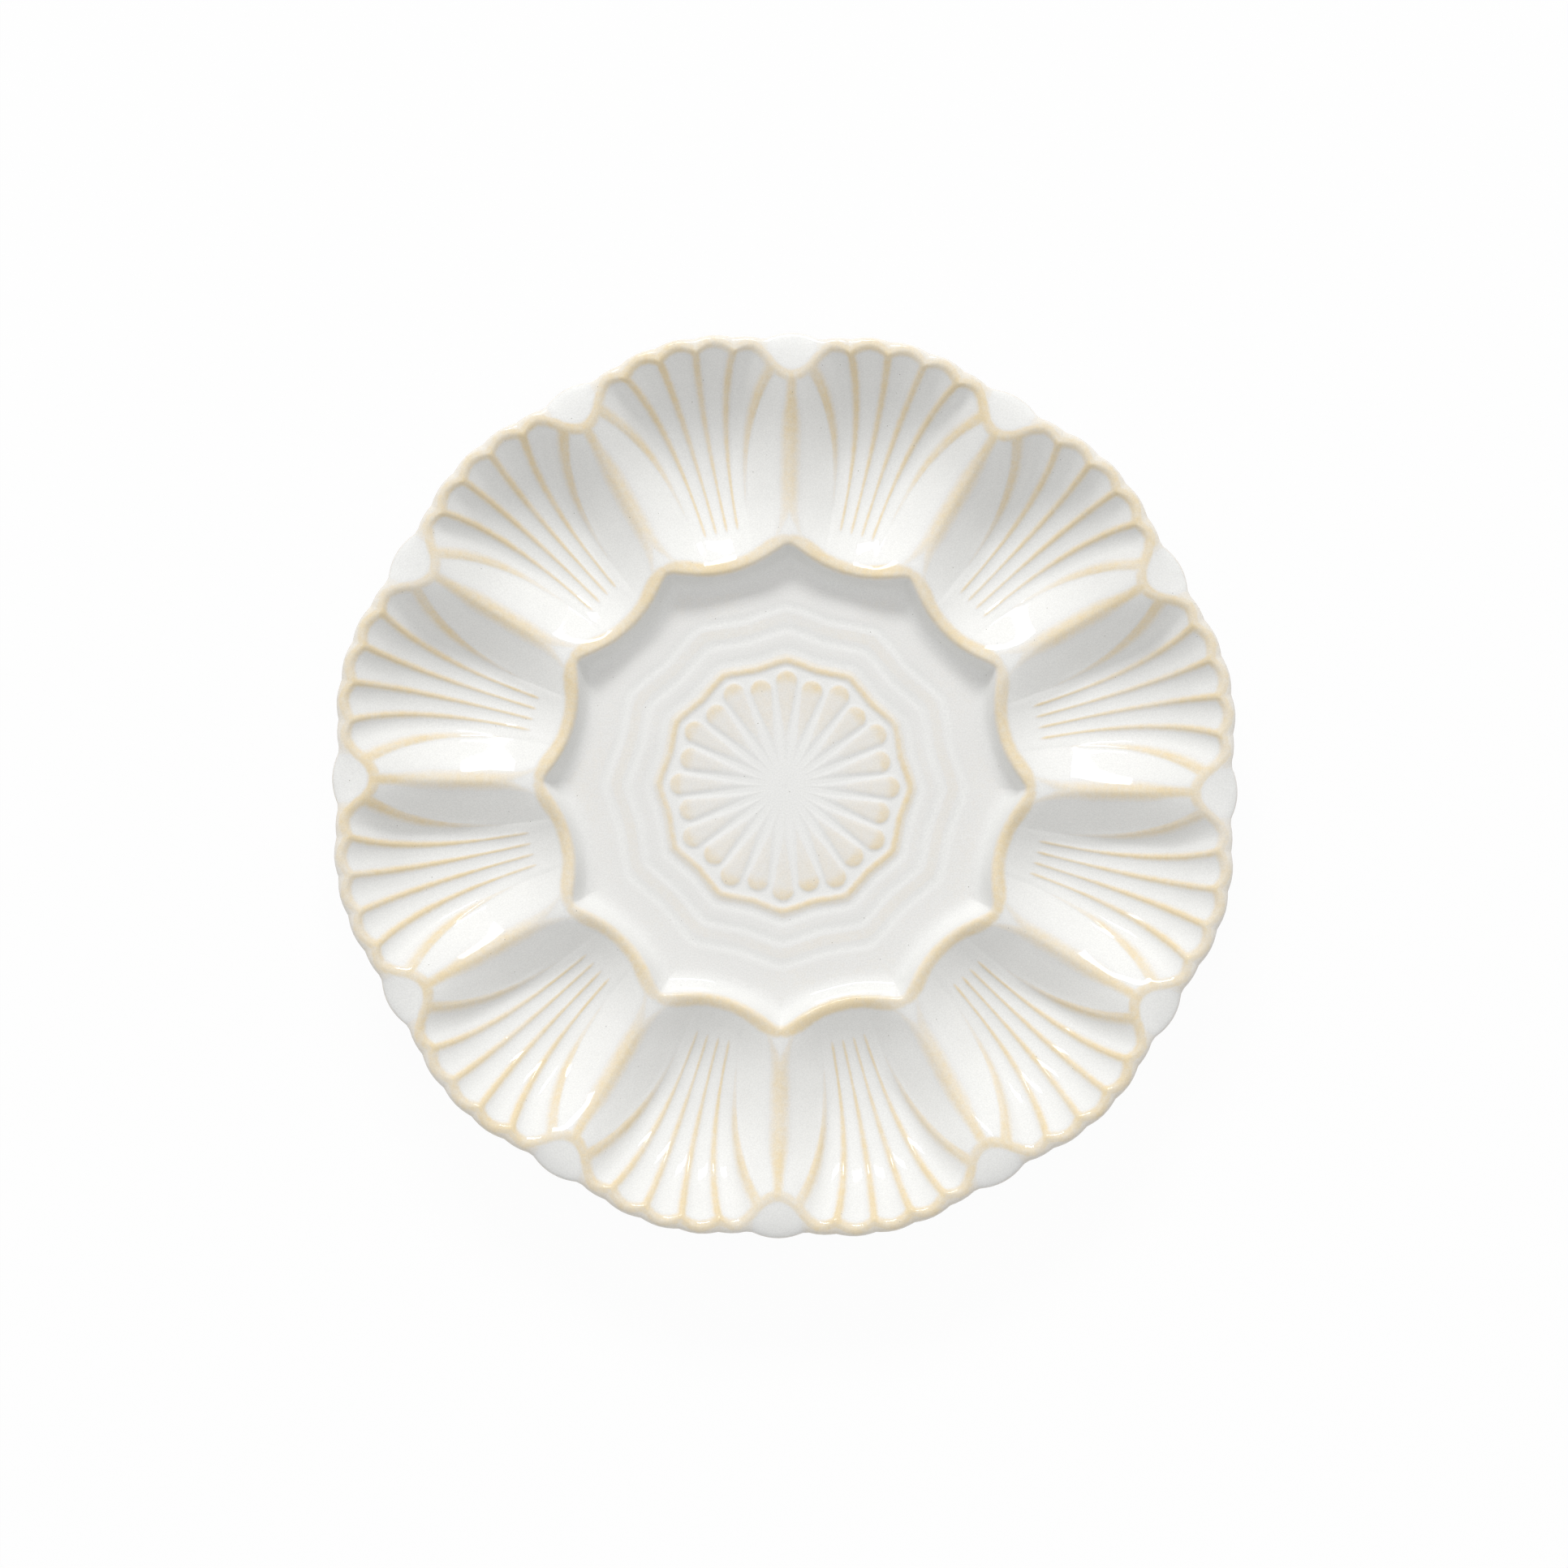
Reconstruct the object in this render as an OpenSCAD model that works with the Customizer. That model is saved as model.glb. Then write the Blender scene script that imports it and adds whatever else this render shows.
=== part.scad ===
// Deviled egg platter: one round pressed stoneware plate.
// A ring of egg wells, each fluted like a scallop shell, surrounds a sunk dish with a rosette,
// and the plate stands on a bare clay foot ring.
// Millimetres, +Z up, origin on the table under the middle of the plate.

/* [Platter] */
// Diameter across the rims of opposite shells
platter_d = 305; // [280:1:330]
// Height of the shell rims above the table
rim_z = 30; // [27:0.5:36]
// Number of egg wells
well_count = 12; // [11:1:13]
// Thickness of the clay on the level parts
clay_t = 5.5; // [4.5:0.5:7]

/* [Egg wells] */
// Height of the lowest point of a well above the table
well_floor_z = 9.5; // [8.5:0.5:11]
// Where along its length a well is deepest, as a share from the dish outward
well_deep_at = 0.36; // [0.3:0.02:0.44]
// Power of the sweep up to the rim: a higher one keeps the floor level for longer
well_sweep = 2.2; // [1.8:0.1:2.8]
// Plan radius of the rounded crest of one shell
shell_arc_r = 61; // [52:1:75]
// Plan radius of the outer edge of one shell
edge_arc_r = 68; // [60:1:80]
// Distance from the outer edge of a shell in to the crest of its rim
rim_inset = 2.2; // [1.6:0.1:3]
// Height that the rim falls from its crest to its outer edge
rim_fall = 2.8; // [2:0.2:4]

/* [Flutes and ribs] */
// Number of flutes in a shell, an odd number
flute_count = 5; // [3:2:7]
// Depth of a flute near the rim
flute_d = 0.8; // [0.4:0.1:2]
// Height of a rib near the rim
rib_h = 0.5; // [0.2:0.1:1]
// Depth of the notches between the scallops of the rim
scallop_d = 2.6; // [1:0.1:3]
// Depth of the waves that the scallops leave in the outer edge
edge_wave_d = 0.8; // [0:0.1:1.5]
// Radius at which the long ribs die out on the floor of a well
rib_end_r = 86.5; // [84:0.5:96]
// Radius at which the two outer ribs die out
outer_rib_end_r = 95; // [90:1:105]
// Spacing of the ribs on the floor, as a share of their spacing at the rim
rib_pinch = 0.48; // [0.4:0.02:0.7]

/* [Ridges and tabs] */
// Height of the inner end of the ridges between wells
ridge_in_z = 20.6; // [19:0.2:23]
// Height of the ridges at their lowest place
ridge_low_z = 19.4; // [17:0.2:21]
// Height of the fork where a ridge parts into two shell rims
fork_z = 30; // [27:0.5:36]
// Distance from the outer edge of the plate in to the fork
fork_inset = 16; // [13:0.5:20]
// Radius of the rounded crest of a ridge
ridge_round = 1.3; // [0.5:0.1:3]
// Height that a tab falls from the fork to its outer edge
tab_fall = 2.5; // [1.5:0.5:5]
// Distance that the outer edge of a tab lies inside the shell diameter
tab_inset = 1.9; // [0.5:0.1:3]
// Plan radius of the rounded outer edge of a tab
tab_arc_r = 18.5; // [14:0.5:26]

/* [Dish] */
// Radius of the crest round the dish, on the axis of a well
crest_r = 75; // [71:0.2:78]
// Height of that crest
crest_z = 18.8; // [17:0.2:21]
// Plan radius of each arc of the crest
crest_arc_r = 40; // [36:1:60]
// Radius of the rounded crest on the side of the well
crest_round = 2; // [1:0.5:4]
// Height of the floor of the dish
dish_z = 11.5; // [9.5:0.5:12]
// Run of the sloping wall from the crest in to the floor
wall_run = 9; // [7:0.2:12]
// Plan radius of each arc of the foot of that wall
wall_arc_r = 50; // [45:1:80]

/* [Rosette] */
// Radius of the raised border, on the axis of a well
border_r = 40; // [34:0.5:44]
// Height of the border above the floor
border_h = 0.6; // [0.3:0.1:1.4]
// Width of the border
border_w = 4; // [2:0.2:5]
// Length of the points of the border and star lines, as a share of their radius
star_point = 0.058; // [0.02:0.002:0.09]
// Radius of the round ends of the petals, on the axis of a well
petal_r = 35.8; // [28:0.2:36]
// Height of the petals above the floor
petal_h = 0.8; // [0.4:0.1:1.6]
// Radius at which the petals begin
petal_in_r = 8; // [4:0.5:14]
// Radius of the inner star line pressed into the floor
star_in_r = 50.3; // [47:0.1:52]
// Radius of the outer star line
star_out_r = 57; // [55:0.1:60]
// Width of a star line
star_w = 3.6; // [2:0.2:4]
// Depth of a star line
star_d = 0.3; // [0.1:0.1:1]

/* [Foot ring] */
// Outer radius of the foot where it meets the plate
foot_r = 80; // [70:0.5:81]
// Width of the foot where it meets the plate
foot_w = 8; // [6:0.5:12]
// Width of the face that the foot stands on
foot_face_w = 4.5; // [3:0.5:6]
// Height of the foot
foot_h = 4; // [3:0.5:5]

/* [Hidden] */

// Angle taken by one well, and from its axis to the ridge beside it
sector = 360 / well_count;
half = sector / 2;
edge_r = platter_d / 2;
rim_r = edge_r - rim_inset;
fork_r = edge_r - fork_inset;
well_l = rim_r - crest_r;
// Fan coordinate s: ribs lie on the odd numbers, and the ridges at both ends
ridge_s = flute_count + 1;
rib_end = (rib_end_r - crest_r) / well_l;
outer_rib_end = (outer_rib_end_r - crest_r) / well_l;
// How fast the ribs fan out, and how soon flutes and scallops set in and close at the rim
fan_power = 2.75;
flute_power = 4;
flute_close_power = 10;
scallop_power = 10;
rib_fade = 0.05;
outer_rib_fade = 0.25;
rib_w = 1.3;
rim_round = 1.2;
cusp_round = 1.6;
// Share of the sweep above which it runs straight, and where along a ridge it is lowest
sweep_straight = 0.72;
ridge_low_at = 0.27;
// Bend at the foot of a well's side: round near the dish, and a crease from side_crease_at outward
side_power = 2.2;
side_crease_at = 0.42;
// Level web at the inner end of a ridge: its share of a well's half width, and where it has run out
web_share = 0.22;
web_end = 0.3;
// Share of its run at which the wall of the dish is half way down
wall_half_at = 0.355;
// Share of a well's depth that the underside of a ridge follows
ridge_under = 0.8;
// Extra thickness of the steep clay under the rim
steep_t = 0.5;
flat_margin = 2;
notch_blend = 1.5;

function mix(p, q, f) = p + (q - p) * f;
function smooth(f) = let (g = max(0, min(1, f))) g * g * (3 - 2 * g);
// Radius, at angle a from its axis, of an arc that bulges outward or inward to the radius tip
function arc_out(tip, r, a) = let (c = tip - r) c * cos(a) + sqrt(max(0, r * r - pow(c * sin(a), 2)));
function arc_in(tip, r, a) = let (c = tip + r) c * cos(a) - sqrt(r * r - pow(c * sin(a), 2));
// Larger of two values, blended over the width w where they cross
function blend_max(p, q, w) = let (h = max(0, w - abs(p - q)) / w) max(p, q) + h * h * w / 4;

// Scallops of the rim: 1 in the middle of a flute, 0 on a rib
function scallop(s) = abs(cos(90 * s));
function rim_a(s) = half * s / ridge_s;
// Plan of the outer edge: waved shell arcs, with a tab across each ridge
function outer_edge_r(s) = let (
    a = rim_a(s),
    wave = abs(s) < flute_count ? 1 - scallop(s) : 1)
    blend_max(arc_out(edge_r, edge_arc_r, a) - edge_wave_d * wave,
        arc_out(edge_r - tab_inset, tab_arc_r, half - abs(a)), notch_blend);
// Plan of the crest round the dish: an arc over each well, rounded where two arcs meet
function crest_plan_r(a) = arc_in(crest_r, crest_arc_r, max(0, half - norm([half - abs(a), cusp_round])));
function wall_foot_r(a) = arc_in(crest_r - wall_run, wall_arc_r, a);
// Plan of the rim's crest without its scallops: shell arcs that fork round the tabs
function shell_plan_r(s) = mix(arc_out(rim_r, shell_arc_r, rim_a(s)), fork_r,
    pow(smooth((abs(s) - flute_count + 1) / 2), 0.9));
function scallop_in(s, t) = abs(s) >= flute_count - 1 ? 0
    : scallop_d * (1 - scallop(s)) * pow(t, scallop_power);
function rim_drop(s) = mix(rim_fall, tab_fall, smooth(abs(s) - flute_count + 0.5));

// Course of the line s from the dish (t = 0) to the rim (t = 1)
function fan_a(s, t) = let (
    at_rim = rim_a(s),
    over = max(0, abs(s) - flute_count),
    pinched = abs(s) <= flute_count ? at_rim * rib_pinch
        : sign(s) * mix(rim_a(flute_count) * rib_pinch, half, over),
    spread = pow(t, fan_power))
    mix(pinched, at_rim, spread);
function fan_r(s, t) = mix(crest_plan_r(fan_a(s, 0)), shell_plan_r(s), t) - scallop_in(s, t);

// Rise of a wall from 0 to 1, curved at first and straight in its upper part
function sweep_rise(x) = let (
    low = pow(sweep_straight, well_sweep),
    slope = well_sweep * low / sweep_straight)
    (x < sweep_straight ? pow(x, well_sweep) : low + slope * (x - sweep_straight))
        / (low + slope * (1 - sweep_straight));
// Height along a valley, from its inner crest over its lowest place to its outer crest
function valley_z(t, low_at, in_z, low_z, out_z) = let (
    crest = crest_round / well_l,
    rim = rim_round / well_l,
    inner = max(0, (low_at - norm([t, crest])) / (low_at - crest)),
    outer = max(0, (1 - low_at - norm([1 - t, rim])) / (1 - low_at - rim)))
    low_z + (in_z - low_z) * pow(inner, 2) + (out_z - low_z) * sweep_rise(outer);
// Share of the rise from the floor of a well to the rounded crest of the ridge beside it
function side_line(at, bend, power) = bend / power
    * (at < bend ? pow(at / bend, power) : 1 + (at / bend - 1) * power);
// Share of the way from a ridge or its web, 0, to the axis of the well, 1
function web(t) = web_share * pow(max(0, 1 - t / web_end), 2);
function from_web(s, t) = max(0, 1 - abs(fan_a(s, t)) / half - web(t)) / (1 - web(t));
function side_rise(s, t) = let (
    crest = ridge_round / (half * PI / 180 * fan_r(s, t)),
    share = max(0, 1 - norm([from_web(s, t), crest])),
    bend = fan_a(flute_count, t) / half,
    power = side_power * (1 + pow(t / side_crease_at, 5)))
    side_line(share, bend, power) / side_line(1 - crest, bend, power);
function bowl_z(s, t, ridge = 1) = mix(
    valley_z(t, well_deep_at, crest_z, well_floor_z, rim_z),
    valley_z(t, ridge_low_at, ridge_in_z, ridge_low_z, fork_z),
    ridge * side_rise(s, t));
// Shallow scoop of the flutes, and the fine ribs that stand between them
function from_rib(s, t) = let (rib = max(-flute_count, min(flute_count, 2 * floor(s / 2) + 1)))
    (fan_a(s, t) - fan_a(rib, t)) * PI / 180 * fan_r(s, t);
function flute_z(s, t) = let (
    begins = abs(s) > flute_count - 1 ? smooth((t - outer_rib_end) / outer_rib_fade)
        : smooth((t - rib_end) / rib_fade),
    scoop = abs(s) < flute_count ? flute_d * scallop(s) * pow(t, flute_power) : 0,
    rib = rib_h * mix(0.5, 1, t) * exp(-pow(from_rib(s, t) / (rib_w * mix(0.4, 1, t)), 2)))
    begins * (rib - scoop) * (1 - pow(t, flute_close_power));

// Underside: level below the dish and the floors of the wells, then parallel to the wells
function under_z(s, t) = max(foot_h, bowl_z(s, t, ridge_under) - clay_t * (1 + steep_t * pow(t, 3)));

// Floor of the dish: petals, border and star lines, at angle a and base radius r
function bump(x, w) = abs(x) >= w / 2 ? 0 : pow(cos(180 * x / w), 2);
function petal_z(a, r) = r >= petal_r ? 0 : let (
    petals = 2 * well_count,
    across = pow(cos(a * petals / 2), 2),
    swell = smooth((r - petal_in_r) / (petal_r - petal_in_r)),
    tip = sqrt(1 - pow(max(0, (r - petal_r * 0.86) / (petal_r * 0.14)), 2)))
    petal_h * across * swell * tip;
function floor_z(a, r) = dish_z + petal_z(a, r) + border_h * bump(r - border_r, border_w)
    - star_d * (bump(r - star_in_r, star_w) + bump(r - star_out_r, star_w));

// Rings of points, from the middle of the dish out over the rim and back under the plate
function polar(r, a, z) = [r * cos(a), r * sin(a), z];
function well_axis(k) = half + sector * k;
side_steps = 3;
lines = concat(
    [for (k = [0 : side_steps - 1]) k / side_steps - ridge_s],
    [for (i = [0 : flute_count - 1]) for (f = [0, 0.25, 0.75]) 2 * (i + f) - flute_count],
    [for (k = [0 : side_steps - 1]) flute_count + k / side_steps]);
under_lines = concat([-ridge_s], [for (i = [0 : flute_count]) 2 * i - flute_count]);
dish_step = sector / 8;
dish_angles = [for (a = [-half : dish_step : half - dish_step / 2]) a];

function dish_ring(r) = [for (k = [0 : well_count - 1]) for (a = dish_angles)
    polar(r * (1 + star_point * pow(abs(a) / half, 1.7)), well_axis(k) + a, floor_z(a, r))];
// Height of the dish's wall: steep below its crest, and rounded out into the floor
function wall_share(f) = let (tail = 1 / (1 + pow(1 / wall_half_at, 3)))
    (1 / (1 + pow(f / wall_half_at, 3)) - tail) / (1 - tail);
function wall_ring(f) = [for (k = [0 : well_count - 1]) for (s = lines)
    let (a = fan_a(s, 0))
    polar(mix(crest_plan_r(a), wall_foot_r(a), f), well_axis(k) + a,
        mix(dish_z, bowl_z(s, 0), wall_share(f)))];
function well_ring(t) = [for (k = [0 : well_count - 1]) for (s = lines)
    polar(fan_r(s, t), well_axis(k) + fan_a(s, t), bowl_z(s, t) + flute_z(s, t))];
// Rounded edge: f is 0 at the crest, 1 at the outermost place and 2 below it
function edge_ring(f, on_lines) = [for (k = [0 : well_count - 1]) for (s = on_lines)
    let (a = rim_a(s), out = outer_edge_r(s), fall = rim_drop(s))
    f <= 1 ? polar(mix(fan_r(s, 1), out, sin(90 * f)), well_axis(k) + a,
            bowl_z(s, 1) - fall * (1 - cos(90 * f)))
        : polar(out - rim_inset * (f - 1), well_axis(k) + a,
            bowl_z(s, 1) - fall - clay_t * 0.5 * (f - 1))];
function under_ring(t) = [for (k = [0 : well_count - 1]) for (s = under_lines)
    polar(fan_r(s, t), well_axis(k) + fan_a(s, t), under_z(s, t))];
function flat_ring() = [for (k = [0 : well_count - 1]) for (s = under_lines)
    polar(foot_r + flat_margin, well_axis(k) + rim_a(s), foot_h)];

dish_rs = concat(
    [petal_in_r, petal_r * 0.5, petal_r * 0.86, petal_r],
    [for (f = [-0.5, 0, 0.5]) border_r + border_w * f],
    [for (f = [-0.5, 0, 0.5]) star_in_r + star_w * f],
    [for (f = [-0.5, 0, 0.5]) star_out_r + star_w * f]);
well_ts = [0, 0.05, 0.11, 0.19, 0.3, 0.44, 0.58, 0.7, 0.8, 0.88, 0.95, 1];
under_ts = [0.94, 0.84, 0.7, 0.55, 0.4, 0.2];
rings = concat(
    [for (r = dish_rs) dish_ring(r)],
    [for (f = [1, 0.55, 0.28]) wall_ring(f)],
    [for (t = well_ts) well_ring(t)],
    [edge_ring(0.6, lines), edge_ring(1, lines), edge_ring(2, under_lines)],
    [for (t = under_ts) under_ring(t)],
    [flat_ring()]);

// Triangles between two closed rings of n and m points that start at the same angle
function belt(n, m, a0, b0) = concat(
    [for (i = [0 : n - 1]) [a0 + i, a0 + (i + 1) % n, b0 + floor((i + 0.5) * m / n + 0.5) % m]],
    [for (j = [0 : m - 1]) [a0 + ceil((j + 0.5) * n / m - 0.5) % n, b0 + (j + 1) % m, b0 + j]]);
function starts(i, at) = i == len(rings) ? [] : concat([at], starts(i + 1, at + len(rings[i])));

// The whole glazed plate as one closed skin through the rings
module platter_body() {
    at = starts(0, 1);
    last = len(rings) - 1;
    middle = [[0, 0, dish_z]];
    skin = [for (i = [0 : last - 1]) each belt(len(rings[i]), len(rings[i + 1]), at[i], at[i + 1])];
    hub = [for (j = [0 : len(rings[0]) - 1]) [0, at[0] + (j + 1) % len(rings[0]), at[0] + j]];
    base = [[for (j = [0 : len(rings[last]) - 1]) at[last] + j]];
    color("ivory") polyhedron(points = concat(middle, [for (ring = rings) each ring]),
        faces = concat(hub, skin, base), convexity = 12);
}

// Bare clay ring under the plate, tapered to the face that it stands on
module foot_ring() {
    taper = (foot_w - foot_face_w) / 2;
    color("burlywood") rotate_extrude($fn = 180)
        polygon([[foot_r - foot_w, foot_h], [foot_r - foot_w + taper, 0], [foot_r - taper, 0], [foot_r, foot_h]]);
}

platter_body();
foot_ring();
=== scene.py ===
"""Deviled egg platter: its glazed plate, its bare clay foot, the studio light and the camera."""
import math

import bpy
import numpy as np
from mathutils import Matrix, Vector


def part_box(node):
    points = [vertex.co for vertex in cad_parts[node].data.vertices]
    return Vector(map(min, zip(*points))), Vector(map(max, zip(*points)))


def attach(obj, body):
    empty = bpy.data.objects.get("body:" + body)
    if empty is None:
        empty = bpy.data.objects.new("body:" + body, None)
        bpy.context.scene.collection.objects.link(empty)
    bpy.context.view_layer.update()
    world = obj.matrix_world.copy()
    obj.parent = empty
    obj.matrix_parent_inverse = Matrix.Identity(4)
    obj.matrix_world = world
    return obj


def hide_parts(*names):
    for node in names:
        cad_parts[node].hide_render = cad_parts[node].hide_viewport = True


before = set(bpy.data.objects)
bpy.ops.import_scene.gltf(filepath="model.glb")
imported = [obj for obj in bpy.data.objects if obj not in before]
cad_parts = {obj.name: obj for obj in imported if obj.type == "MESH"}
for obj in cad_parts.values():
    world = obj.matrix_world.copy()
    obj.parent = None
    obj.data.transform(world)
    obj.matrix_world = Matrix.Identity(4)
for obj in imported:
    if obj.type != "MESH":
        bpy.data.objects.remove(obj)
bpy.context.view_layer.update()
plate_low, plate_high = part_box("platter_body")
_, foot_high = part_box("foot_ring")

MM = 0.001

# Plate, in millimetres; the overall sizes come from the parts in model.glb
WELLS = 12
TAB_INSET = 1.9
EDGE_R = plate_high.x / MM + TAB_INSET
RIM_Z = plate_high.z / MM
FOOT_H = plate_low.z / MM
FOOT_R = foot_high.x / MM
CLAY_T = 5.5
SECTOR = 2 * math.pi / WELLS
HALF = SECTOR / 2

# Egg wells
WELL_FLOOR_Z = 9.5
WELL_DEEP_AT = 0.36
SIDE_POWER = 2.2
SIDE_CREASE_AT = 0.42
SIDE_CREASE_POWER = 5
SWEEP_POWER = 2.2
SWEEP_STRAIGHT = 0.72
SHELL_ARC_R = 61
EDGE_ARC_R = 68
RIM_INSET = 2.2
RIM_FALL = 1.8
RIM_ROUND = 1.2
RIM_R = EDGE_R - RIM_INSET

# Flutes and ribs; the fan coordinate s has ribs on the odd numbers and ridges at both ends
FLUTES = 5
FLUTE_D = 1.6
FLUTE_POWER = 4
FLUTE_CLOSE_POWER = 9
SCALLOP_D = 2.6
SCALLOP_POWER = 10
EDGE_WAVE_D = 0.8
RIB_END_R = 86.5
OUTER_RIB_END_R = 95
RIB_PINCH = 0.48
RIB_FADE = 0.05
OUTER_RIB_FADE = 0.25
RIB_H = (0.25, 0.5)
RIB_W = (0.5, 1.3)
FAN_POWER = 2.75
RIDGE_S = FLUTES + 1
RIBS = range(-FLUTES, FLUTES + 1, 2)

# Ridges and tabs
RIDGE_IN_Z = 20.6
RIDGE_LOW_Z = 19.4
RIDGE_LOW_AT = 0.27
RIDGE_ROUND = 1.3
RIDGE_UNDER = 0.8
WEB_SHARE = 0.22
WEB_END = 0.3
FORK_Z = 30
FORK_R = EDGE_R - 16
FORK_POWER = 0.9
TAB_STARTS = 0.5
TAB_FALL = 2.5
TAB_ARC_R = 18.5
NOTCH_BLEND = 1.5

# Dish and its wall
CREST_R = 75
CREST_Z = 18.8
CREST_ARC_R = 40
CREST_ROUND = 2
CUSP_ROUND = math.radians(1.6)
DISH_Z = 11.5
WALL_RUN = 9
WALL_ARC_R = 50
WALL_HALF_AT = 0.355
WALL_POWER = 3
WELL_L = RIM_R - CREST_R
RIB_END = (RIB_END_R - CREST_R) / WELL_L
OUTER_RIB_END = (OUTER_RIB_END_R - CREST_R) / WELL_L

# Rosette
BORDER_R = 40
BORDER_H = 0.5
BORDER_W = 4.4
STAR_POINT = 0.058
STAR_ROUND = 0.07
STAR_POWER = 1.5
STAR_RS = (43.5, 49.9, 57.3)
STAR_W = 4.4
STAR_D = 0.2
PETALS = 2 * WELLS
PETAL_LONG_R = 39.2
PETAL_SHORT_R = 37
PETAL_END_R = 4.2
PETAL_IN_R = 6
PETAL_TAPER = 1.1
PETAL_EDGE = 2.2
PETAL_H = 0.5
PETAL_ROOT_H = 0.3

# Underside
FLAT_MARGIN = 2
STEEP_T = 0.5
STEEP_POWER = 3

# Unevenness left by hand pressing
UNEVEN_SEED = 12
UNEVEN_Z = 0.05
UNEVEN_WAVES = 18
UNEVEN_LENGTHS = (22, 80)

# Points of the mesh: counts, pulls towards the ends, and places of rings
LINES_PER_FLUTE = 8
LINES_PER_SIDE = 14
FLUTE_PULL = 0.6
SIDE_PULL = 0.5
DISH_LINES = 28
DISH_RINGS = ((1.2, 26, 1.4), (26, 43, 0.52), (43, 60, 0.75), (60, CREST_R - WALL_RUN - 1, 1))
WALL_RINGS = 14
WELL_RINGS = 52
WELL_PULL = 0.5
LIP_RINGS = 10
LIP_PULL = 0.4
UNDER_LIP_RINGS = 4
UNDER_LINES = 24
UNDER_TS = (0.94, 0.9, 0.84, 0.77, 0.7, 0.62, 0.55, 0.47, 0.4, 0.3, 0.2)
FLAT_RS = (FOOT_R + FLAT_MARGIN, FOOT_R, 60, 40, 20, 4)

# Glaze: how thin it runs, from 0 where it pools white to 1 where the tan clay shows through.
# THIN is such a level, BAND a half width and SOFT the width of a fading edge, both in millimetres
FLOOR_THIN = 0.3
PETAL_THIN = 0.43
PETAL_ROOT_THIN = FLOOR_THIN * 0.9
PETAL_GROWS = (8, 26)
PETAL_MARGIN = 0.4
PETAL_SOFT = (2.2, 1.6)
TIP_THIN = 0.7
TIP_FADE = 6
TIP_SOFT = 3.4
STAR_WHITE = 0.95
STAR_SPREAD = 1.4
BLUSH_THIN = 0.07
BLUSH_BAND = 2
BLUSH_SOFT = 2.4
BORDER_THIN = 0.78
BORDER_BAND = 1.4
BORDER_BAND_SOFT = 2.4
BORDER_EDGE = 1.5
FRINGE_THIN = 0.5
FRINGE_OUT = 0.7
FRINGE_BAND = BORDER_BAND + 0.5
FRINGE_SOFT = 2.6
CREST_THIN = (0.82, 0.75)
CREST_BAND_IN = 2
CREST_BAND_OUT = 2.9
CREST_BAND_SOFT = 2.6
CREST_CUSP = 0.55
CREST_CUSP_POWER = 6
CREST_SWELL = 1.4
CREST_SWELL_AT = 0.68
CREST_SWELL_W = 0.25

# Glaze on the ribs: places and fades are shares of a well's length,
# and the band's soft edge and starting point are shares of its width
RIB_THIN = (0.74, 0.87)
RIB_LEAD = 0.012
RIB_SOFT = 0.04
RIB_BAND_IN = 0.6
RIB_BAND_GROWS = 1.86
RIB_BAND_SOFT = 0.9
RIB_POINT = 0.4
RIB_WIDENS_AT = 0.36
OUTER_RIB_THIN = (0.42, 0.77)
OUTER_RIB_DEEPENS = (0.36, 0.7)
OUTER_RIB_LEAD = 0.05
OUTER_RIB_SOFT = 0.14

# Glaze on the ridges, the rim and its lip, in millimetres; the lip's glaze ends at the tabs, over steps of s
RIDGE_THIN = (0.45, 0.75)
RIDGE_DEEPENS = (82, 104)
RIDGE_END_THIN = 0.85
RIDGE_BAND = (3.5, 2)
RIDGE_BAND_SOFT = (5, 3)
RIDGE_NARROWS = (118, 132)
RIDGE_FORKS = (84, 100)
WEB_LINE_IN = 0.8
WEB_LINE_BAND = 1.4
WEB_LINE_SOFT = 2.6
RIM_THIN = 0.75
RIM_BAND = 2.2
RIM_BAND_SOFT = 1.8
LIP_THIN = 0.62
LIP_EDGE_SHARE = 0.85
LIP_END_SOFT = 0.6
EDGE_THIN = 0.5
EDGE_LINE = 0.5
EDGE_LINE_SOFT = 0.8
UNDER_LIP_THIN = 0.6


def mix(p, q, f):
    return p + (q - p) * f


def smooth(f):
    """Soft step from 0 at f = 0 to 1 at f = 1."""
    g = np.clip(f, 0, 1)
    return g * g * (3 - 2 * g)


def ramp(x, span):
    """Soft step over the span, a pair of places."""
    return smooth((x - span[0]) / (span[1] - span[0]))


def arc_out(tip, r, a):
    """Radius at angle a of an arc that bulges outward to the radius tip."""
    c = tip - r
    return c * np.cos(a) + np.sqrt(np.maximum(0, r * r - (c * np.sin(a)) ** 2))


def arc_in(tip, r, a):
    """Radius at angle a of an arc that bulges inward to the radius tip."""
    c = tip + r
    return c * np.cos(a) - np.sqrt(r * r - (c * np.sin(a)) ** 2)


def blend_max(p, q, w):
    """Larger of two values, blended over the width w where they cross."""
    h = np.maximum(0, w - np.abs(p - q)) / w
    return np.maximum(p, q) + h * h * w / 4


def bump(x, w):
    """Rounded hill of height 1 and width w."""
    return np.where(np.abs(x) < w / 2, np.cos(np.pi * x / w) ** 2, 0)


def band(distance, width, soft):
    """1 within width of a line, falling to 0 over soft, which is centred on the band's edge."""
    return 1 - smooth((np.abs(distance) - width + soft / 2) / soft)


def crowded(n, pull):
    """n shares from 0 up to but without 1, closer together at both ends."""
    x = np.arange(n) / n
    return x - pull * np.sin(2 * np.pi * x) / (2 * np.pi)


# Plan of the shells, the rim and the edge
def scallop(s):
    """1 in the middle of each flute and 0 on each rib."""
    return np.abs(np.cos(np.pi / 2 * s))


def rim_a(s):
    """Angle from the well's axis at which the line s meets the rim."""
    return HALF * s / RIDGE_S


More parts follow.
